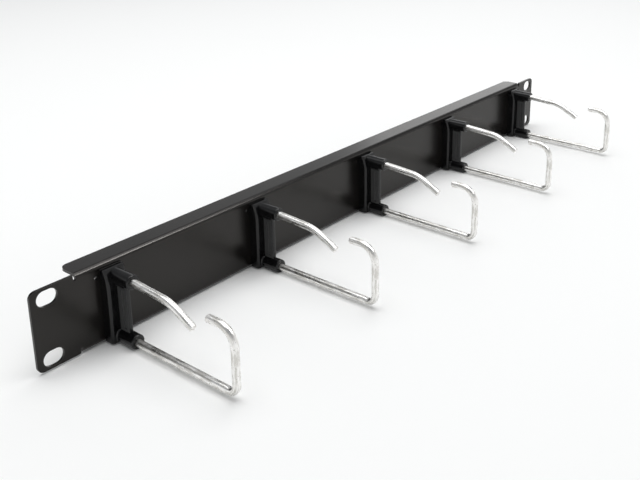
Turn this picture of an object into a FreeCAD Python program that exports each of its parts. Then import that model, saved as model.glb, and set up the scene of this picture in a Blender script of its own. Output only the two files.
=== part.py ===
# Horizontal cable manager for a 19-inch rack, one rack unit high.
# One folded steel panel carries a row of moulded holders, and each holder carries one bent wire ring.
# Millimetres. X runs along the panel, Z is up, and the front of the panel faces -Y.
# The origin is the centre of the plane where the ears bear on the rack rails (the back of the sheet).
import FreeCAD, Part
import math
import os

Vec = FreeCAD.Vector

# ---- rack interface ----
UNIT_HEIGHT = 44.45        # one rack unit
UNIT_GAP = 1.85            # height left free inside the unit
PANEL_WIDTH = 482.6        # across both ears
EAR_EDGE = 8.75            # outer edge of an ear to its slots' centres
SLOT_INSET = 6.35          # edge of the rack unit to the ear slots' centres
EAR_SLOT_LENGTH = 11.0
EAR_SLOT_WIDTH = 8.2
EAR_CORNER = 3.5           # radius of the ears' outer corners
EAR_LENGTH = 24.3          # outer edge to the flanges, which pass between the rack rails

# ---- folded sheet ----
SHEET = 1.5
BEND_INSIDE = 1.0          # inside bend radius
FLANGE_DEPTH = 13.5        # top and bottom flange, from the front face
FLANGE_CORNER = 4.0        # radius of the flanges' free corners
RELIEF_WIDTH = 1.4         # notch that frees each bend from the ear
RELIEF_EXTRA = 0.5         # how far the notch goes past the bend

# ---- wire ring ----
WIRE = 4.0                 # wire diameter
RING_COUNT = 5
ROW_EDGE = 39.3            # outer edge of an ear to the nearest ring, before the offset
ROW_OFFSET = 3.9           # the row stands a little off the panel's centre
UPPER_ARM_INSET = 5.7      # panel's top edge to the root of the upper arm's axis
UPPER_SLOPE = 3.3          # degrees that the upper arm falls towards the kink
LOWER_REACH = 88.4         # panel face to the front leg's axis
TAIL_DROP = 1.2            # root of the upper arm to the level of the tail
TAIL_LENGTH = 17.0
UPPER_REACH = 45.0         # panel face to the kink
DROP_LENGTH = 17.9         # bent-down end, kink to tip
DROP_ANGLE = 27.5          # degrees below the level
BACK_BEND = 5.0            # axis radii of the bends
FRONT_BEND = 5.0
TAIL_BEND = 9.5
KINK_BEND = 28.0
END_BREAK = 0.35           # broken edge on the cut ends

# ---- moulded holder ----
MOULD_FIT = 0.03           # shrink gap between plastic and wire
BACK_WALL = 1.1            # plastic behind the wire's back run
FRONT_WALL = 0.9           # plastic in front of it
FOOT_WALL = 0.5            # foot of the base to the underside of the lower arm
TOP_WALL = 1.0             # plastic over the root of the upper arm
FOOT_INSET = 0.1           # holder's foot above the panel's lower edge
BASE_WIDTH = 12.6
BASE_EDGE = 1.5            # round on the base's upright front edges
BROW_HEIGHT = 10.5         # upper part of the base that leans back
BROW_LEAN = 2.5            # how far it leans back at the top
LIP_THICK = 1.2            # rear lip beside the groove across the top
GROOVE_WIDTH = 1.0
GROOVE_DEPTH = 1.5
SOCKET_RADIUS = 3.85
SOCKET_LENGTH = 12.2       # past the base's front face
BOSS_EDGE = 0.8            # rounded ends of the sockets and the saddle
SOCKET_FLARE = 0.9         # hollow curve where the lower socket leaves the base
UPPER_SOCKET_SINK = 0.1    # crown to the top of the upper socket
LOWER_SOCKET_LIFT = 0.35   # lower socket's centre above the lower arm's axis
SADDLE_RADIUS = 2.4        # smaller round that backs the upper socket from below
SADDLE_DROP = 2.9          # upper socket's centre to the saddle's centre
SADDLE_LENGTH = 8.3        # past the base's front face
RIB_THICK = 2.3
RIB_DEPTH = 7.4
RIB_EDGE = 0.6             # round on the rib's front edges
RIB_GROOVE_AT = 3.4        # start of the long groove in the rib's sides
RIB_GROOVE_WIDTH = 1.7
RIB_GROOVE_FLOOR = 0.9
RIB_GROOVE_DEPTH = 0.45
RIB_GROOVE_END = 1.3       # rib left whole between the groove and a socket

# ---- hooks and their slots in the sheet ----
HOOK_WIDTH = 7.0
HOOK_THICK = 1.6
HOOK_CATCH = 1.1           # catch that reaches past the slot
CATCH_THICK = 1.8
HOOK_FIT = 0.15            # clearance between hook and sheet
UPPER_HOOK_DROP = 0.9      # upper hook below the root of the upper arm
LOWER_HOOK_RISE = 4.7      # lower hook above the lower arm
SLOT_END_ROOM = 0.475      # lets a slot's round end clear the hook's square corners
SLIDE_IN = 2.8             # upper slot runs out past the base so that the holder can be slid in
TONGUE_PAST = 1.6          # upper hook's tongue reaches this far past the base into the run-out
CATCH_LAND = 0.63          # flat top of the catch, before it slopes down to the tip
CATCH_NOSE = 0.24          # height of the catch's tip above the hook's middle

# ---- working allowances ----
CUT_PAST = 1.0             # cutters run this far past what they cut
SUNK = 1.0                 # a form is sunk this far into the one it is fused to
SAME = 1e-4                # lengths closer than this count as equal

# ---- sizes that follow ----
panel_height = UNIT_HEIGHT - UNIT_GAP
ear_pitch_x = PANEL_WIDTH - 2 * EAR_EDGE
ear_pitch_z = UNIT_HEIGHT - 2 * SLOT_INSET
flange_length = PANEL_WIDTH - 2 * EAR_LENGTH
half_height = panel_height / 2
bend_outside = BEND_INSIDE + SHEET
face_y = -SHEET                                # front face of the panel
wire_r = WIRE / 2
foot_z = -half_height + FOOT_INSET
lower_z = foot_z + FOOT_WALL + wire_r          # axis of the lower arm
upper_z = half_height - UPPER_ARM_INSET        # root of the upper arm's axis
crown_z = upper_z + wire_r + TOP_WALL          # top of the holder
back_run = BACK_WALL + wire_r                  # panel face to the back run's axis
base_depth = BACK_WALL + WIRE + FRONT_WALL
socket_end = base_depth + SOCKET_LENGTH
upper_socket_z = crown_z - UPPER_SOCKET_SINK - SOCKET_RADIUS
lower_socket_z = lower_z + LOWER_SOCKET_LIFT
saddle_z = upper_socket_z - SADDLE_DROP
ring_pitch = (PANEL_WIDTH - 2 * ROW_EDGE) / (RING_COUNT - 1)
ring_x = [ROW_OFFSET + (i - (RING_COUNT - 1) / 2) * ring_pitch for i in range(RING_COUNT)]


def box(x0, x1, y0, y1, z0, z1):
    return Part.makeBox(x1 - x0, y1 - y0, z1 - z0, Vec(x0, y0, z0))


def at(d, z, x=0.0):
    """Point at distance d in front of the panel face."""
    return Vec(x, face_y - d, z)


def outline_wire(points, radii, closed):
    """Wire through points with each corner rounded to its own radius (0 leaves it sharp)."""
    n = len(points)
    starts, ends, mids = [], [], []
    for i, (p, r) in enumerate(zip(points, radii)):
        if r <= 0 or (not closed and i in (0, n - 1)):
            starts.append(p)
            ends.append(p)
            mids.append(None)
            continue
        a = (points[i - 1] - p).normalize()
        b = (points[(i + 1) % n] - p).normalize()
        half = a.getAngle(b) / 2
        run = r / math.tan(half)
        bisector = (a + b).normalize()
        starts.append(p + a * run)
        ends.append(p + b * run)
        mids.append(p + bisector * (r / math.sin(half) - r))
    edges = []
    for i in range(n):
        if mids[i] is not None:
            edges.append(Part.Arc(starts[i], mids[i], ends[i]).toShape())
        j = (i + 1) % n
        if (closed or j != 0) and ends[i].distanceToPoint(starts[j]) > SAME:
            edges.append(Part.LineSegment(ends[i], starts[j]).toShape())
    return Part.Wire(edges)


def prism(points, radii, direction):
    return Part.Face(outline_wire(points, radii, True)).extrude(direction)


def slot(x, z, length, width):
    """Obround cutter along X that passes right through the sheet."""
    r = width / 2
    h = length / 2 - r
    y = face_y - CUT_PAST
    corners = [Vec(x - h, y, z - r), Vec(x + h, y, z - r), Vec(x + h, y, z + r), Vec(x - h, y, z + r)]
    edges = [Part.LineSegment(corners[0], corners[1]).toShape(),
             Part.Arc(corners[1], Vec(x + h + r, y, z), corners[2]).toShape(),
             Part.LineSegment(corners[2], corners[3]).toShape(),
             Part.Arc(corners[3], Vec(x - h - r, y, z), corners[0]).toShape()]
    return Part.Face(Part.Wire(edges)).extrude(Vec(0, SHEET + 2 * CUT_PAST, 0))


# ---------------------------------------------------------------- panel
def folded_channel():
    """Face with a flange turned back along its top and its bottom."""
    y_in, y_back, h = 0.0, face_y + FLANGE_DEPTH, half_height
    x0 = -flange_length / 2
    pts = [Vec(x0, y_back, h), Vec(x0, face_y, h), Vec(x0, face_y, -h), Vec(x0, y_back, -h),
           Vec(x0, y_back, -h + SHEET), Vec(x0, y_in, -h + SHEET), Vec(x0, y_in, h - SHEET),
           Vec(x0, y_back, h - SHEET)]
    radii = [0, bend_outside, bend_outside, 0, 0, BEND_INSIDE, BEND_INSIDE, 0]
    channel = prism(pts, radii, Vec(flange_length, 0, 0))
    free_corners = [e for e in channel.Edges
                    if abs(e.CenterOfMass.y - y_back) < SAME and e.BoundBox.XLength < SAME]
    return channel.makeFillet(FLANGE_CORNER, free_corners)


def ear(side):
    """One slotted ear with its neck, which passes between the two bend reliefs."""
    inner, outer = flange_length / 2, PANEL_WIDTH / 2
    x0 = inner + RELIEF_WIDTH
    pts = [Vec(x0, face_y, -half_height), Vec(outer, face_y, -half_height),
           Vec(outer, face_y, half_height), Vec(x0, face_y, half_height)]
    blade = prism(pts, [0, EAR_CORNER, EAR_CORNER, 0], Vec(0, SHEET, 0))
    neck_z = half_height - bend_outside - RELIEF_EXTRA
    neck = box(inner, x0, face_y, 0, -neck_z, neck_z)
    slots = [slot(ear_pitch_x / 2, z, EAR_SLOT_LENGTH, EAR_SLOT_WIDTH)
             for z in (-ear_pitch_z / 2, ear_pitch_z / 2)]
    piece = blade.fuse(neck).removeSplitter().cut(slots)
    if side < 0:
        piece = piece.mirror(Vec(0, 0, 0), Vec(1, 0, 0))
    return piece


def hook_slots(x):
    """The two punched slots behind one holder."""
    high = HOOK_THICK + 2 * HOOK_FIT
    right = HOOK_WIDTH / 2 + HOOK_FIT + SLOT_END_ROOM
    left = BASE_WIDTH / 2 + SLIDE_IN
    upper = slot(x + (right - left) / 2, upper_z - UPPER_HOOK_DROP, right + left, high)
    lower = slot(x, lower_z + LOWER_HOOK_RISE, 2 * right, high)
    return [upper, lower]


def panel():
    body = folded_channel().cut([cutter for x in ring_x for cutter in hook_slots(x)])
    # the rails bear on the ears alone, so each ear keeps a back face of its own
    return body.fuse([ear(1), ear(-1)])


# ---------------------------------------------------------------- ring
def ring_axis():
    """Corner points and bend radii of the wire, from the bent-down end round to the tail."""
    drop = math.radians(DROP_ANGLE)
    kink_z = upper_z - (UPPER_REACH - back_run) * math.tan(math.radians(UPPER_SLOPE))
    tail_z = upper_z - TAIL_DROP
    points = [at(UPPER_REACH + DROP_LENGTH * math.cos(drop), kink_z - DROP_LENGTH * math.sin(drop)),
              at(UPPER_REACH, kink_z),
              at(back_run, upper_z),
              at(back_run, lower_z),
              at(LOWER_REACH, lower_z),
              at(LOWER_REACH, tail_z),
              at(LOWER_REACH - TAIL_LENGTH, tail_z)]
    return points, [0, KINK_BEND, BACK_BEND, BACK_BEND, FRONT_BEND, TAIL_BEND, 0]


def rod(radius):
    """Round section of the given radius swept along the ring's axis."""
    points, radii = ring_axis()
    spine = outline_wire(points, radii, False)
    circle = Part.Circle(points[0], (points[1] - points[0]).normalize(), radius).toShape()
    return spine.makePipeShell([Part.Wire([circle])], True, True)


def ring():
    wire = rod(wire_r)
    if wire.Volume < 0:
        wire.reverse()
    cut_ends = [e for e in wire.Edges if e.Closed and any(
        f.Surface.TypeId == "Part::GeomPlane" for f in wire.ancestorsOfType(e, Part.Face))]
    return wire.makeChamfer(END_BREAK, cut_ends)


# ---------------------------------------------------------------- holder
def base_block():
    """Upright block whose front leans back towards the top, with a groove across its crown."""
    half = BASE_WIDTH / 2
    brow_z = crown_z - BROW_HEIGHT
    top_depth = base_depth - BROW_LEAN
    # an arc that starts along the front face has leant back a quarter of its way at half its height
    mid_z = brow_z + BROW_HEIGHT / 2
    mid_depth = base_depth - BROW_LEAN / 4
    edges = [Part.LineSegment(at(0, foot_z, -half), at(base_depth, foot_z, -half)).toShape(),
             Part.LineSegment(at(base_depth, foot_z, -half), at(base_depth, brow_z, -half)).toShape(),
             Part.Arc(at(base_depth, brow_z, -half), at(mid_depth, mid_z, -half),
                      at(top_depth, crown_z, -half)).toShape(),
             Part.LineSegment(at(top_depth, crown_z, -half), at(0, crown_z, -half)).toShape(),
             Part.LineSegment(at(0, crown_z, -half), at(0, foot_z, -half)).toShape()]
    block = Part.Face(Part.Wire(edges)).extrude(Vec(BASE_WIDTH, 0, 0))
    front_edges = [e for e in block.Edges
                   if e.BoundBox.XLength < SAME and e.CenterOfMass.y < face_y - top_depth
                   and e.BoundBox.ZLength > BROW_HEIGHT / 2]
    block = block.makeFillet(BASE_EDGE, front_edges)
    groove = box(-half - CUT_PAST, half + CUT_PAST, face_y - LIP_THICK - GROOVE_WIDTH, face_y - LIP_THICK,
                 crown_z - GROOVE_DEPTH, crown_z + CUT_PAST)
    return block.cut(groove)


def boss(z, radius, end, flare=0.0):
    """Round boss with a rounded end, turned about its own axis; a flare hollows its root."""
    top = z + radius
    root = [at(wire_r, z), at(wire_r, top + flare)]
    radii = [0, 0]
    if flare > 0:
        root += [at(base_depth, top + flare), at(base_depth, top)]
        radii += [0, flare]
    profile = outline_wire(root + [at(end, top), at(end, z)], radii + [BOSS_EDGE, 0], True)
    return Part.Face(profile).revolve(at(0, z), Vec(0, 1, 0), 360)


def rib():
    """Stiffening rib between the two sockets, with a long shallow groove in each side."""
    d0, d1 = base_depth - SUNK, base_depth + RIB_DEPTH
    w = RIB_THICK / 2
    pts = [at(d, lower_socket_z, x) for d, x in ((d0, w), (d1, w), (d1, -w), (d0, -w))]
    blade = prism(pts, [0, RIB_EDGE, RIB_EDGE, 0], Vec(0, 0, upper_socket_z - lower_socket_z))
    g0 = base_depth + RIB_GROOVE_AT
    g1 = g0 + RIB_GROOVE_WIDTH
    slope = (RIB_GROOVE_WIDTH - RIB_GROOVE_FLOOR) / 2
    low = lower_socket_z + SOCKET_RADIUS + RIB_GROOVE_END
    high = saddle_z - SADDLE_RADIUS - RIB_GROOVE_END
    for side in (1, -1):
        outline = ((g0, w), (g0 + slope, w - RIB_GROOVE_DEPTH), (g1 - slope, w - RIB_GROOVE_DEPTH),
                   (g1, w), (g1, w + CUT_PAST), (g0, w + CUT_PAST))
        pts = [at(d, low, side * x) for d, x in outline]
        blade = blade.cut(prism(pts, [0] * len(pts), Vec(0, 0, high - low)))
    return blade


def hook(z, up, left):
    """Tongue through the sheet with a sloped catch behind it; up is +1 or -1, left its reach to -X."""
    t = HOOK_THICK / 2
    back = SHEET + HOOK_FIT                    # from the panel face to the catch
    tip = back + CATCH_THICK
    far = t + HOOK_CATCH
    path = [(-BACK_WALL / 2, -t), (tip, -t), (tip, CATCH_NOSE), (back + CATCH_LAND, far),
            (back, far), (back, t), (-BACK_WALL / 2, t)]
    pts = [at(-d, z + up * h, -left) for d, h in path]
    return prism(pts, [0] * len(pts), Vec(left + HOOK_WIDTH / 2, 0, 0))


def holder():
    upper_hook = hook(upper_z - UPPER_HOOK_DROP, 1, BASE_WIDTH / 2 + TONGUE_PAST)
    lower_hook = hook(lower_z + LOWER_HOOK_RISE, -1, HOOK_WIDTH / 2)
    lower_socket = boss(lower_socket_z, SOCKET_RADIUS, socket_end, SOCKET_FLARE)
    upper_socket = boss(upper_socket_z, SOCKET_RADIUS, socket_end)
    saddle = boss(saddle_z, SADDLE_RADIUS, base_depth + SADDLE_LENGTH)
    body = base_block().fuse([lower_socket, upper_socket, saddle, rib(), upper_hook, lower_hook])
    # the lower socket hangs below the foot, but only in front of the base
    below_foot = box(-BASE_WIDTH, BASE_WIDTH, face_y - base_depth - SOCKET_FLARE, face_y + CUT_PAST,
                     foot_z - 2 * SOCKET_RADIUS, foot_z)
    return body.cut(below_foot).cut(rod(wire_r + MOULD_FIT)).removeSplitter()


# ---------------------------------------------------------------- write the pieces
def moved(shape, x):
    copy = shape.copy()
    copy.translate(Vec(x, 0, 0))
    return copy


def main():
    os.makedirs("parts", exist_ok=True)
    one_holder, one_ring = holder(), ring()
    pieces = {"panel": panel()}
    for i, x in enumerate(ring_x, start=1):
        pieces["holder_%d" % i] = moved(one_holder, x)
        pieces["ring_%d" % i] = moved(one_ring, x)
    for name, shape in pieces.items():
        solid = shape.Solids[0]
        print(name, "solids", len(shape.Solids), "valid", shape.isValid(),
              "volume", round(shape.Volume, 1), "faces", len(shape.Faces))
        solid.exportStep("parts/%s.step" % name)


main()
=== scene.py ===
# %% [markdown]
# # A one-unit cable manager, dressed and lit
#
# The object is a folded steel panel that screws into a 19-inch rack. Five black moulded holders hook
# into it, and each one carries a bent steel wire ring that cables lie in. The solid model already has
# every piece at its true size and place, so this lesson does three things: it gives the panel and the
# holders a finish, it redraws the wires with surfaces whose finish can follow the bends, and it sets up
# a small white studio. Everything is in metres, in the same frame as the solid model: X runs along the
# panel, the rings stand out towards -Y, and Z is up.

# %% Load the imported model
import math

import bpy
import numpy as np
from mathutils import Matrix, Vector


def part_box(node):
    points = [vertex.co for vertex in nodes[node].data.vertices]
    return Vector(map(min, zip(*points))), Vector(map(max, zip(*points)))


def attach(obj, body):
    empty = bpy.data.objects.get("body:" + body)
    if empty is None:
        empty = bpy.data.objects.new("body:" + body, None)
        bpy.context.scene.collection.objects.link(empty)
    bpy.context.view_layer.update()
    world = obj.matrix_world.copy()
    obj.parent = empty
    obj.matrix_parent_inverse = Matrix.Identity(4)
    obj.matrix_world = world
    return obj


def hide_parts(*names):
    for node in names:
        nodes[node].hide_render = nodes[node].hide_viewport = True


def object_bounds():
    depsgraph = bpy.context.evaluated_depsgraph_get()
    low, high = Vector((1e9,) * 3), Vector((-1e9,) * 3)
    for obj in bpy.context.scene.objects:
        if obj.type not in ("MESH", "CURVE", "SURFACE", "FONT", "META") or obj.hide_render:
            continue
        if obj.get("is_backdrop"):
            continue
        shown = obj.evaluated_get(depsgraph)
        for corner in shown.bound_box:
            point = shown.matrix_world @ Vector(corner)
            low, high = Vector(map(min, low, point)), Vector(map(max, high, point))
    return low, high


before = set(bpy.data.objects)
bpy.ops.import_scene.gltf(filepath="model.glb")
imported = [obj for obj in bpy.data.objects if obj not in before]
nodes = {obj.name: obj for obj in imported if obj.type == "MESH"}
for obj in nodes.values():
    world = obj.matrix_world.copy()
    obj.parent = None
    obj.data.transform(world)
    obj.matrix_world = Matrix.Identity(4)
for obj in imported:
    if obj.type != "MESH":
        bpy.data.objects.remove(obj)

cad_low, cad_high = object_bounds()
scene = bpy.context.scene
MM = 0.001

# %% [markdown]
# ## Helpers that every finish uses
#
# Colours are written as the hex values that a paint chart gives, which are sRGB. The renderer works
# with linear light, so one function converts them. Materials are graphs of nodes. One function adds a
# node of any kind, sets its properties, and fills its sockets with either a number or another node's
# output, so a whole material can be read as a short list. A third starts an empty material.

# %% Colour and node helpers
def linear(hex_colour):
    """sRGB hex to linear RGBA: c/12.92 below 0.04045, else ((c + 0.055) / 1.055) to the power 2.4."""
    c = np.array([int(hex_colour[i:i + 2], 16) for i in (1, 3, 5)]) / 255
    low, high = c / 12.92, ((c + 0.055) / 1.055) ** 2.4
    return (*np.where(c <= 0.04045, low, high).tolist(), 1.0)


def add_node(tree, kind, inputs=None, **settings):
    """One node; an input is a value, or (node, output name or number) for a link."""
    node = tree.nodes.new("ShaderNode" + kind)
    for name, value in settings.items():
        setattr(node, name, value)
    for name, value in (inputs or {}).items():
        linked = isinstance(value, tuple) and isinstance(value[0], bpy.types.Node)
        if linked:
            tree.links.new(value[0].outputs[value[1]], node.inputs[name])
        else:
            node.inputs[name].default_value = value
    return node


def new_material(name, viewport_hex):
    """An empty material and its node tree; the hex colour is the flat colour of the viewport."""
    material = bpy.data.materials.new(name)
    material.use_nodes = True
    material.node_tree.nodes.clear()
    material.diffuse_color = linear(viewport_hex)
    return material, material.node_tree


print("mid grey #808080 in linear light:", round(linear("#808080")[0], 3))

# %% [markdown]
# ## The camera
#
# A long thin object shows best from beyond one end, looking along it, so that the near end is large
# and the far end runs away. The camera stands to the left. Its lens is a normal one, a little longer
# than the sensor's diagonal. It aims about 55 mm above the middle of the object, and the lens is
# shifted down and to the left, as on a view camera, so that the whole object falls inside the picture.
# That keeps the upright edges closer to parallel than tilting the whole camera down would.

# %% Camera
SENSOR_WIDTH = 36.0                     # mm, as on a full-frame camera
FOCAL_LENGTH = 48.83                    # mm
CAMERA_PLACE = (-427.1, -348.6, 221.8)  # mm
TURN, DIP, ROLL = 54.28, 16.99, 0.65    # degrees: from +Y towards +X, below the horizon, clockwise
LENS_SHIFT = (-0.14, -0.21)             # in picture widths
CLIP_START, CLIP_END = 0.01, 50.0       # metres


def looking(turn, dip, roll):
    """Camera axes as columns, right, up and back, for a turn about Z, a dip and a roll in degrees."""
    t, d, r = np.radians([turn, dip, roll])
    ahead = np.array([math.sin(t) * math.cos(d), math.cos(t) * math.cos(d), -math.sin(d)])
    right = np.array([math.cos(t), -math.sin(t), 0.0])
    up = np.cross(right, ahead)
    tilted_right = right * math.cos(r) + up * math.sin(r)
    tilted_up = up * math.cos(r) - right * math.sin(r)
    return np.column_stack([tilted_right, tilted_up, -ahead])


camera_data = bpy.data.cameras.new("camera")
camera_data.sensor_width = SENSOR_WIDTH
camera_data.lens = FOCAL_LENGTH
camera_data.shift_x, camera_data.shift_y = LENS_SHIFT
camera_data.clip_start, camera_data.clip_end = CLIP_START, CLIP_END
camera = bpy.data.objects.new("camera", camera_data)
turned = Matrix(looking(TURN, DIP, ROLL)).to_4x4()
camera.matrix_world = Matrix.Translation(Vector(CAMERA_PLACE) * MM) @ turned
scene.collection.objects.link(camera)
scene.camera = camera
print("camera is", round(camera.location.length, 3), "m from the slot pattern's centre")

# %% [markdown]
# ## The floor
#
# The object lies on a pale matt sheet. The lowest points are the lower sockets of the five holders, so
# they touch it, and the panel's lower flange stays just under a millimetre clear. A flat disc is enough
# for the sheet, made as a grid of two parameters: the radius, which grows faster and faster, and the
# angle. The disc is large, so that its rim lies near the horizon from any side.

# %% Floor
FLOOR_RADIUS = 9.0          # metres
FLOOR_RINGS, FLOOR_SIDES = 24, 96


def grid_faces(rows, columns, wrap):
    """Corner numbers of the quads of a grid; with wrap, the last column joins the first."""
    i = np.arange(rows - 1)[:, None]
    j = np.arange(columns if wrap else columns - 1)[None, :]
    k = (j + 1) % columns
    return np.stack([i * columns + j, i * columns + k,
                     (i + 1) * columns + k, (i + 1) * columns + j], -1).reshape(-1, 4)


def mesh_object(name, points, faces):
    """A mesh object at the origin from an array of points and a list of faces, shaded smooth."""
    mesh = bpy.data.meshes.new(name)
    mesh.from_pydata(points.tolist(), [], faces)
    mesh.polygons.foreach_set("use_smooth", np.ones(len(mesh.polygons), bool))
    mesh.update()
    thing = bpy.data.objects.new(name, mesh)
    scene.collection.objects.link(thing)
    return thing


share = np.linspace(0, 1, FLOOR_RINGS + 1)[1:] ** 2
angle = np.linspace(0, 2 * np.pi, FLOOR_SIDES, endpoint=False)
rim = np.stack(np.broadcast_arrays(FLOOR_RADIUS * share[:, None] * np.cos(angle),
                                   FLOOR_RADIUS * share[:, None] * np.sin(angle),
                                   cad_low.z), -1).reshape(-1, 3)
floor_points = np.vstack([rim, [[0, 0, cad_low.z]]])
middle = [[FLOOR_RINGS * FLOOR_SIDES, j, (j + 1) % FLOOR_SIDES] for j in range(FLOOR_SIDES)]
outer = grid_faces(FLOOR_RINGS, FLOOR_SIDES, True)[:, ::-1].tolist()
floor = mesh_object("floor", floor_points, outer + middle)
floor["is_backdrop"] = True
print("floor at z =", round(cad_low.z / MM, 2), "mm")

# %% [markdown]
# ## The floor's paper
#
# Studio backdrop paper is matt and nearly white. It has a faint tooth, which matters only close to the
# object, where a shadow falls on it.

# %% Backdrop paper
TOOTH_SCALE = 900.0         # lumps per metre, so each is about 1.1 mm wide
TOOTH_HEIGHT = 0.0002       # metres

paper, tree = new_material("matt_backdrop_paper", "#f4f4f2")
place = add_node(tree, "TexCoord")
tooth = add_node(tree, "TexNoise", {"Vector": (place, "Object"), "Scale": TOOTH_SCALE, "Detail": 2.0})
relief = add_node(tree, "Bump", {"Height": (tooth, 0), "Strength": 0.15,
                                "Distance": TOOTH_HEIGHT})
skin = add_node(tree, "BsdfPrincipled", {"Base Color": linear("#fafaf9"), "Roughness": 0.9,
                                         "Specular IOR Level": 0.2, "Normal": (relief, 0)})
add_node(tree, "OutputMaterial", {"Surface": (skin, 0)})
floor.data.materials.append(paper)
print("floor material:", paper.name)

# %% [markdown]
# ## Light
#
# Shiny wire and satin paint look like what they mirror, so the studio is designed as a picture for them
# to reflect. The room is white near the horizon and greyer overhead, which gives the wire its darker
# streaks. A tall soft box stands beyond the far end: paint seen at a glancing angle mirrors it, and the
# top flange grows lighter towards that end. A wide one overhead lights the sheet. A small strong one
# stands high in front, to the right, and draws the thin bright line on the panel's upper fold. It shows
# only in glossy reflections, so that it throws no hard shadow on the sheet. All three are hidden from
# the camera, as the real ones stand outside the picture.

# %% World and soft boxes
ROOM_HORIZON, ROOM_TOP = "#ffffff", "#8f9193"
ROOM_STRENGTH = 1.1
GREY_FROM = 0.6             # sine of the angle above the horizon where the room has its top colour
AIM = (cad_low + cad_high) / 2

scene.view_settings.view_transform = "Standard"
scene.view_settings.look = "None"
world = bpy.data.worlds.new("white_room")
scene.world = world
world.use_nodes = True
world.node_tree.nodes.clear()
tree = world.node_tree
direction = add_node(tree, "TexCoord")
height = add_node(tree, "SeparateXYZ", {0: (direction, "Generated")})
rise = add_node(tree, "MapRange", {"Value": (height, "Z"), "From Min": 0.0, "From Max": GREY_FROM},
                interpolation_type="SMOOTHSTEP")
shade = add_node(tree, "Mix", {0: (rise, 0), 6: linear(ROOM_HORIZON), 7: linear(ROOM_TOP)},
                 data_type="RGBA")
background = add_node(tree, "Background", {"Color": (shade, 2), "Strength": ROOM_STRENGTH})
add_node(tree, "OutputWorld", {"Surface": (background, 0)})


def soft_box(name, turn, rise, distance, width, height, radiance):
    """Area light aimed at the object: power is radiance times pi times the lit area."""
    data = bpy.data.lights.new(name, "AREA")
    data.shape = "RECTANGLE"
    data.size, data.size_y = width, height
    data.energy = radiance * math.pi * width * height
    light = bpy.data.objects.new(name, data)
    t, e = math.radians(turn), math.radians(rise)
    away = Vector((math.sin(t) * math.cos(e), math.cos(t) * math.cos(e), math.sin(e)))
    light.location = AIM + away * distance
    light.rotation_euler = away.to_track_quat("Z", "Y").to_euler()
    light.visible_camera = False
    scene.collection.objects.link(light)
    return light


soft_box("far_end_box", turn=64, rise=20, distance=2.0, width=0.9, height=1.2, radiance=0.9)
soft_box("overhead_box", turn=30, rise=84, distance=1.6, width=1.9, height=1.4, radiance=2.7)
front_box = soft_box("front_box", turn=140, rise=50, distance=1.6, width=0.5, height=0.4,
                     radiance=17.0)
front_box.visible_diffuse = False

# %% [markdown]
# ## Powder coat on the folded panel
#
# The panel is mild steel, punched, folded and then powder coated: charged polyester powder clings to it
# and melts in an oven into a skin about 80 micrometres thick. The skin is satin black. It levels almost
# flat but keeps a slow ripple, called orange peel, with lumps 2 to 3 mm wide, and over that a grain
# that softens every reflection. Handling leaves wide smudges, which change the tone and the gloss a
# little. The pattern reads Object coordinates, turned to millimetres, so each size below is in mm.

# %% Satin powder coat
PEEL_LUMP = 2.6           # mm
GRAIN = 0.55              # mm; the real grain is near 0.1, drawn coarser so that it shows
SMUDGE = 55.0             # mm
PEEL_HEIGHT = 0.010       # mm
GRAIN_HEIGHT = 0.004      # mm
NOISE_RANGE = (0.3, 0.7)  # most of a noise's values lie between these
PAINT_ROUGHNESS = (0.20, 0.26)


def millimetres(tree, source, output):
    """The coordinate in millimetres."""
    return add_node(tree, "VectorMath", {0: (source, output), "Scale": 1 / MM}, operation="SCALE")


def noise(tree, where, size, detail=2.0, rough=0.5):
    """Noise whose lumps are about size millimetres wide."""
    return add_node(tree, "TexNoise", {"Vector": where, "Scale": 1 / size, "Detail": detail,
                                       "Roughness": rough})


def spread(tree, value, low, high, to_low, to_high):
    """Maps low..high of a value to to_low..to_high, with soft ends."""
    return add_node(tree, "MapRange", {"Value": value, "From Min": low, "From Max": high,
                                       "To Min": to_low, "To Max": to_high},
                    interpolation_type="SMOOTHSTEP")


powder_coat, tree = new_material("satin_black_powder_coat", "#1c1c1d")
place = add_node(tree, "TexCoord")
where = (millimetres(tree, place, "Object"), 0)
peel = noise(tree, where, PEEL_LUMP, detail=1.5)
grain = noise(tree, where, GRAIN, detail=2.0)
smudge = noise(tree, where, SMUDGE, detail=3.0)
tone = spread(tree, (smudge, 0), *NOISE_RANGE, 0.0, 1.0)
colour = add_node(tree, "Mix", {0: (tone, 0), 6: linear("#0a0908"), 7: linear("#0e0c0b")},
                  data_type="RGBA")
gloss = spread(tree, (smudge, 0), *NOISE_RANGE, *PAINT_ROUGHNESS)
ripple = add_node(tree, "Bump", {"Height": (peel, 0), "Distance": PEEL_HEIGHT * MM})
sand = add_node(tree, "Bump", {"Height": (grain, 0), "Distance": GRAIN_HEIGHT * MM,
                               "Normal": (ripple, 0)})
skin = add_node(tree, "BsdfPrincipled", {"Base Color": (colour, 2), "Roughness": (gloss, 0), "IOR": 1.5,
                                         "Specular IOR Level": 0.38,
                                         "Specular Tint": linear("#fffaf5"), "Normal": (sand, 0)})
add_node(tree, "OutputMaterial", {"Surface": (skin, 0)})
nodes["panel"].material_slots[0].material = powder_coat
print("panel finish:", powder_coat.name)
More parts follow.
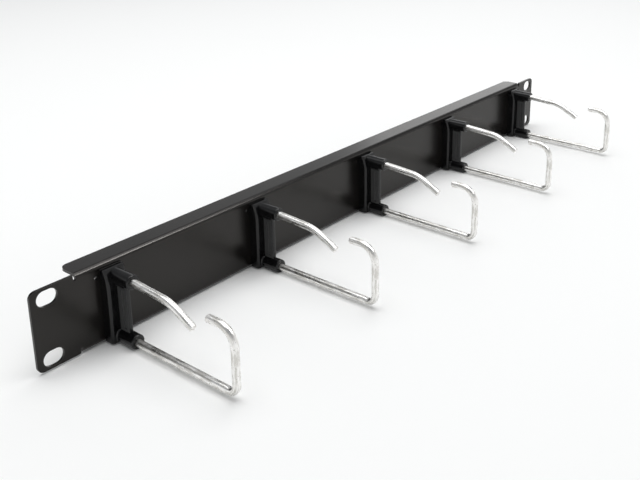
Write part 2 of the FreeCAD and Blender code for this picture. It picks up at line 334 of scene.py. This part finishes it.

# %% [markdown]
# ## Gloss plastic on the holders
#
# The holders are injection moulded over the wire in black nylon. The mould is polished, so the plastic
# has a wet-looking gloss, blacker than the paint because hardly any light comes back out of it. The
# flow of the melt leaves slow waves in the surface and the eye sees them only in the reflections. The
# two flat sides of the upright rib kept the mould's spark-eroded texture, which is too fine to see as
# relief and is drawn as a rougher, duller gloss. Those sides are also painted a lighter grey: a painted
# sheen that stands in for the light their texture catches. They are found by where they are and which
# way they face: no further from a holder's middle than the rib reaches, in front of its base, and
# square to X. The holders repeat along X, so one wrapped coordinate serves all.

# %% Gloss moulded nylon
FLOW_WAVE = 5.0           # mm
FLOW_HEIGHT = 0.008       # mm
MOULD_GRAIN = 0.6         # mm; polishing marks are finer, drawn coarser so that they show
MOULD_GRAIN_HEIGHT = 0.0006  # mm
RIB_HALF = 1.4            # mm, half the rib's thickness and a little more
RIB_STARTS = 6.2          # mm in front of the panel's face
SIDE_FADE, START_FADE = 0.1, 0.4     # mm over which the texture comes in
FLAT_SIDE = (0.8, 0.97)   # size of a normal's x, from not a flat side to surely one
POLISHED_ROUGHNESS = (0.18, 0.26)
TEXTURED_ROUGHNESS = 0.55
face_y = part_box("panel")[0].y / MM

holders = sorted(name for name in nodes if name.startswith("holder_"))
middles = [(low.x + high.x) / 2 / MM for low, high in map(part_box, holders)]
pitch = middles[1] - middles[0]
nylon, tree = new_material("gloss_black_nylon", "#0a0a0b")
place = add_node(tree, "TexCoord")
where = (millimetres(tree, place, "Object"), 0)
flow = noise(tree, where, FLOW_WAVE, detail=1.0)
polish = noise(tree, where, MOULD_GRAIN, detail=2.0)
wave = add_node(tree, "Bump", {"Height": (flow, 0), "Distance": FLOW_HEIGHT * MM})
marks = add_node(tree, "Bump", {"Height": (polish, 0), "Distance": MOULD_GRAIN_HEIGHT * MM,
                                "Normal": (wave, 0)})
axes = add_node(tree, "SeparateXYZ", {0: where})
facing = add_node(tree, "SeparateXYZ", {0: (place, "Normal")})
from_first = add_node(tree, "Math", {0: (axes, "X"), 1: middles[0]}, operation="SUBTRACT")
wrapped = add_node(tree, "Math", {0: (from_first, 0), 1: pitch / 2, 2: -pitch / 2}, operation="WRAP")
off_middle = add_node(tree, "Math", {0: (wrapped, 0)}, operation="ABSOLUTE")
sideways = add_node(tree, "Math", {0: (facing, "X")}, operation="ABSOLUTE")
in_rib = spread(tree, (off_middle, 0), RIB_HALF - SIDE_FADE, RIB_HALF, 1.0, 0.0)
rib_y = face_y - RIB_STARTS
in_front = spread(tree, (axes, "Y"), rib_y - START_FADE, rib_y, 1.0, 0.0)
flat_side = spread(tree, (sideways, 0), *FLAT_SIDE, 0.0, 1.0)
both = add_node(tree, "Math", {0: (in_rib, 0), 1: (in_front, 0)}, operation="MULTIPLY")
# rib sides: the grey #3a3a3a is a painted sheen, a lighter colour standing in for the light they catch;
# their rougher gloss is the real texture
rib_side_rough_and_painted_sheen = add_node(tree, "Math", {0: (both, 0), 1: (flat_side, 0)}, operation="MULTIPLY")
colour = add_node(tree, "Mix", {0: (rib_side_rough_and_painted_sheen, 0), 6: linear("#060607"), 7: linear("#3a3a3a")},
                  data_type="RGBA")
polished = spread(tree, (flow, 0), *NOISE_RANGE, *POLISHED_ROUGHNESS)
gloss = add_node(tree, "Mix", {0: (rib_side_rough_and_painted_sheen, 0), 2: (polished, 0), 3: TEXTURED_ROUGHNESS},
                 data_type="FLOAT")
skin = add_node(tree, "BsdfPrincipled", {"Base Color": (colour, 2), "Roughness": (gloss, 0),
                                         "IOR": 1.53, "Specular IOR Level": 0.36,
                                         "Normal": (marks, 0)})
add_node(tree, "OutputMaterial", {"Surface": (skin, 0)})
for name in holders:
    nodes[name].material_slots[0].material = nylon
print("holders:", holders, "every", round(pitch, 2), "mm")

# %% [markdown]
# ## The wire's path
#
# Each ring is one length of drawn wire, bent five times in one upright plane. A short end drops away,
# then come the upper arm, which rises a little towards the panel, the back run inside the holder, the
# lower arm, the front leg and a level tail that turns back over the opening. The path is a list of
# corners with a bend radius each. Where it meets a corner, the straight stops short by the radius over
# the tangent of half the angle, and an arc takes over. The outer limits come from the solid ring's box,
# and the other lengths are the wire bender's settings.

# %% Path of the wire
WIRE_RADIUS = 2.0          # mm
UPPER_ARM_RISE = 34.3      # mm, lower arm to the upper arm's root
UPPER_SLOPE = 3.3          # degrees, the upper arm's fall from its root to the kink
KINK_FROM_FACE = 45.0      # mm, panel face to the kink
DROP_LENGTH, DROP_ANGLE = 17.9, 27.5
TAIL_RISE = 33.1           # mm, lower arm to the tail
TAIL_LENGTH = 17.0         # mm
BENDS = {"kink": 28.0, "back": 5.0, "front": 5.0, "tail": 9.5}   # mm, radius of each bend
STEP = 0.8                 # mm between sections
ARC_POINTS = 60            # points on each arc before the path is divided evenly

ring_names = sorted(name for name in nodes if name.startswith("ring_"))
ring_low, ring_high = (np.array(corner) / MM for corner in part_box(ring_names[0]))


def bent_path(corners, radii):
    """Distance, point and wire radius over bend radius, every STEP mm or so along a rounded polyline.

    Each arc is c + r (cos a, sin a), swept from one tangent point to the other about the centre c. The
    ratio is that of the piece that starts at each point, so it is zero along every straight.
    """
    runs, bent = [corners[:1]], [[0.0]]
    for before, corner, after, r in zip(corners, corners[1:], corners[2:], radii):
        a, b = before - corner, after - corner
        a, b = a / np.linalg.norm(a), b / np.linalg.norm(b)
        half = math.acos(a @ b) / 2
        centre = corner + (a + b) / np.linalg.norm(a + b) * r / math.sin(half)
        first, last = corner + a * r / math.tan(half), corner + b * r / math.tan(half)
        start, end = (math.atan2(*(p - centre)[::-1]) for p in (first, last))
        end = start + (end - start + math.pi) % (2 * math.pi) - math.pi
        sweep = np.linspace(start, end, ARC_POINTS)
        runs.append(centre + r * np.column_stack([np.cos(sweep), np.sin(sweep)]))
        bent.append([WIRE_RADIUS / r] * (ARC_POINTS - 1) + [0.0])
    runs.append(corners[-1:])
    bent.append([0.0])
    dense, ratio = np.vstack(runs), np.concatenate(bent)
    run = np.concatenate([[0], np.cumsum(np.linalg.norm(np.diff(dense, axis=0), axis=1))])
    s = np.linspace(0, run[-1], round(run[-1] / STEP) + 1)
    points = np.column_stack([np.interp(s, run, dense[:, k]) for k in (0, 1)])
    return s, points, ratio[np.searchsorted(run, s, side="right") - 1]


drop = math.radians(DROP_ANGLE)
lower_z = ring_low[2] + WIRE_RADIUS
upper_z = lower_z + UPPER_ARM_RISE
tail_z = lower_z + TAIL_RISE
back_y, front_y = ring_high[1] - WIRE_RADIUS, ring_low[1] + WIRE_RADIUS
kink_y = face_y - KINK_FROM_FACE
kink_z = upper_z - (back_y - kink_y) * math.tan(math.radians(UPPER_SLOPE))
corners = np.array([(kink_y - DROP_LENGTH * math.cos(drop), kink_z - DROP_LENGTH * math.sin(drop)),
                    (kink_y, kink_z), (back_y, upper_z), (back_y, lower_z), (front_y, lower_z),
                    (front_y, tail_z), (front_y + TAIL_LENGTH, tail_z)])
radii = [BENDS[k] for k in ("kink", "back", "back", "front", "tail")]
along, path, bend = bent_path(corners, radii)
print("wire length", round(along[-1], 1), "mm, sections", len(along), "wire radius", WIRE_RADIUS, "mm")

# %% [markdown]
# ## The wire's surface
#
# The solid ring already has the right shape, but its finish has to run along the wire: drawing leaves
# fine lines that follow every bend. So the ring is made again as a tube. At each point of the path
# stands a circle, turned square to the path, and the surface is the grid of path point by angle. A bend
# squeezes round wire a little, thinner across the bend and wider the other way, and the tube does too.
# Both ends are cut flat with a broken edge, and close in one point. Every vertex keeps how far along
# the wire it is and where in the cross-section, in millimetres, as an attribute that the finish reads.

# %% Tube along the path
SIDES = 44
FLATTEN = 0.16             # share of wire radius over bend radius that a bend squeezes out
END_BREAK = 0.35           # mm, broken edge of a cut end
SPREAD_OF_BEND = 2.5       # mm over which the squeeze fades
SPREAD_STEPS = 9           # sections either side that the fading looks at
SHARP_ANGLE = 30.0         # degrees; a larger angle between faces is shaded as an edge


def tube(along, path, bend, x):
    """Points, faces and (length, out, side) coordinates of a wire with its path in the plane at x.

    point = p + n r_n cos a + X r_x sin a, with n square to the path; r_n shrinks and r_x grows by
    FLATTEN times wire radius over bend radius, smoothed along the wire.
    """
    near = np.arange(-SPREAD_STEPS, SPREAD_STEPS + 1) * STEP
    kernel = np.exp(-0.5 * (near / SPREAD_OF_BEND) ** 2)
    padded = np.pad(bend, SPREAD_STEPS, "edge")
    squeeze = FLATTEN * np.convolve(padded, kernel / kernel.sum(), "valid")
    tangent = np.gradient(path, axis=0)
    tangent /= np.linalg.norm(tangent, axis=1)[:, None]
    normal = np.column_stack([-tangent[:, 1], tangent[:, 0]])
    # the ends: a ring in from the rim, then the rim itself, END_BREAK further along
    starts = path[:1], path[:1] + tangent[:1] * END_BREAK
    stops = path[-1:] - tangent[-1:] * END_BREAK, path[-1:]
    centre = np.vstack([*starts, path[1:-1], *stops])
    normal = np.vstack([normal[:1], normal, normal[-1:]])
    squeeze = np.concatenate([squeeze[:1], squeeze, squeeze[-1:]])
    run = np.concatenate([[0, END_BREAK], along[1:-1], [along[-1] - END_BREAK, along[-1]]])
    radius = np.full(len(run), WIRE_RADIUS)
    radius[[0, -1]] -= END_BREAK
    a = np.linspace(0, 2 * np.pi, SIDES, endpoint=False)
    out = (radius * (1 - squeeze))[:, None] * np.cos(a)
    side = (radius * (1 + squeeze))[:, None] * np.sin(a)
    y, z = (centre[:, [k]] + out * normal[:, [k]] for k in (0, 1))
    points = np.stack([x + side, y, z], -1)
    coordinates = np.stack([np.broadcast_to(run[:, None], out.shape), out, side], -1)
    rows = len(run)
    ends = np.array([[x, *path[0]], [x, *path[-1]]])
    points = np.vstack([points.reshape(-1, 3), ends])
    coordinates = np.vstack([coordinates.reshape(-1, 3), [[0, 0, 0], [along[-1], 0, 0]]])
    last = (rows - 1) * SIDES
    j = np.arange(SIDES)
    k = (j + 1) % SIDES
    first_cap = np.column_stack([np.full(SIDES, rows * SIDES), k, j])
    last_cap = np.column_stack([np.full(SIDES, rows * SIDES + 1), last + j, last + k])
    faces = [*grid_faces(rows, SIDES, True).tolist(), *first_cap.tolist(), *last_cap.tolist()]
    return points * MM, faces, coordinates


def signed_volume(thing):
    """Volume of a closed mesh in mm3 by the sum of a . (b x c) / 6 over its triangles."""
    mesh = thing.data
    mesh.calc_loop_triangles()
    co = np.empty(len(mesh.vertices) * 3)
    mesh.vertices.foreach_get("co", co)
    corners = np.empty(len(mesh.loop_triangles) * 3, np.int32)
    mesh.loop_triangles.foreach_get("vertices", corners)
    a, b, c = co.reshape(-1, 3)[corners.reshape(-1, 3)].transpose(1, 0, 2)
    return float((a * np.cross(b, c)).sum() / 6 / MM ** 3)


wires = []
for number, name in enumerate(ring_names, start=1):
    low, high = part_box(name)
    points, faces, coordinates = tube(along, path, bend, (low.x + high.x) / 2 / MM)
    wire = mesh_object("wire_%d" % number, points, faces)
    wire.data.set_sharp_from_angle(angle=math.radians(SHARP_ANGLE))
    run = wire.data.attributes.new("along_wire", "FLOAT_VECTOR", "POINT")
    run.data.foreach_set("vector", coordinates.ravel())
    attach(wire, "root")
    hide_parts(name)
    wires.append(wire)
print("wires:", len(wires), "volume each", round(signed_volume(wires[0]), 1), "mm3")

# %% [markdown]
# ## Bright zinc on drawn steel
#
# The wire is cold-drawn mild steel, plated with bright zinc and passivated clear. Drawing through a
# die leaves hair lines along it, plating rounds them and lays a slightly cloudy skin over them, and
# handling leaves a few pits. So the metal is satin rather than a mirror: it takes its tone from the
# white room and the dark panel, both softened, and paler and greyer streaks run along it. Lines and
# streaks read the attribute, squeezed along the wire, so that they are long and thin and go round the
# bends.

# %% Plated wire
LINE_WIDTH = 0.45          # mm; real die lines are near 0.05, drawn wider so that they show
LINE_STRETCH = 1 / 25
STREAK_WIDTH = 1.0         # mm, patches of thicker and thinner plating
STREAK_STRETCH = 1 / 7
CLOUD = 7.0                # mm
PIT = 0.9                  # mm
LINE_DEPTH = 0.010         # mm
PIT_DEPTH = 0.02           # mm
THIN_PLATING = (0.4, 0.62)   # streak noise from full plating to thin
PITTED = (0.66, 0.74)        # pit noise from sound to pitted
CLOUDED = (0.35, 0.7)        # cloud noise from clear to cloudy
ZINC_ROUGHNESS = (0.24, 0.36)

zinc, tree = new_material("bright_zinc_on_drawn_wire", "#c9c9c6")
run = add_node(tree, "Attribute", attribute_name="along_wire")


def squeezed(factor):
    """The wire's coordinate with its length scaled by a factor, for patterns drawn out along it."""
    return add_node(tree, "VectorMath", {0: (run, "Vector"), 1: (factor, 1.0, 1.0)},
                    operation="MULTIPLY")


lines = noise(tree, (squeezed(LINE_STRETCH), 0), LINE_WIDTH, detail=2.0, rough=0.6)
streaks = noise(tree, (squeezed(STREAK_STRETCH), 0), STREAK_WIDTH, detail=3.0, rough=0.6)
cloud = noise(tree, (run, "Vector"), CLOUD, detail=3.0)
pits = noise(tree, (run, "Vector"), PIT, detail=1.0)
thin = spread(tree, (streaks, 0), *THIN_PLATING, 0.0, 1.0)
plated = add_node(tree, "Mix", {0: (thin, 0), 6: linear("#f8f7f5"), 7: linear("#d0cec9")},
                  data_type="RGBA")
pitted = spread(tree, (pits, 0), *PITTED, 0.0, 1.0)
colour = add_node(tree, "Mix", {0: (pitted, 0), 6: (plated, 2), 7: linear("#aeaca7")},
                  data_type="RGBA")
gloss = spread(tree, (cloud, 0), *CLOUDED, *ZINC_ROUGHNESS)
drawn = add_node(tree, "Bump", {"Height": (lines, 0), "Distance": LINE_DEPTH * MM})
dented = add_node(tree, "Bump", {"Height": (pitted, 0), "Distance": PIT_DEPTH * MM,
                                 "Normal": (drawn, 0)}, invert=True)
skin = add_node(tree, "BsdfPrincipled", {"Base Color": (colour, 2), "Metallic": 1.0,
                                         "Roughness": (gloss, 0), "Normal": (dented, 0)})
add_node(tree, "OutputMaterial", {"Surface": (skin, 0)})
for wire in wires:
    wire.data.materials.append(zinc)
print("wire finish:", zinc.name)

# %% [markdown]
# ## The size
#
# The dressed object must fill the same box as the solid model; its size is printed.

# %% Size
low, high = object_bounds()
print("visual size in mm:", [round((b - a) / MM, 2) for a, b in zip(low, high)])
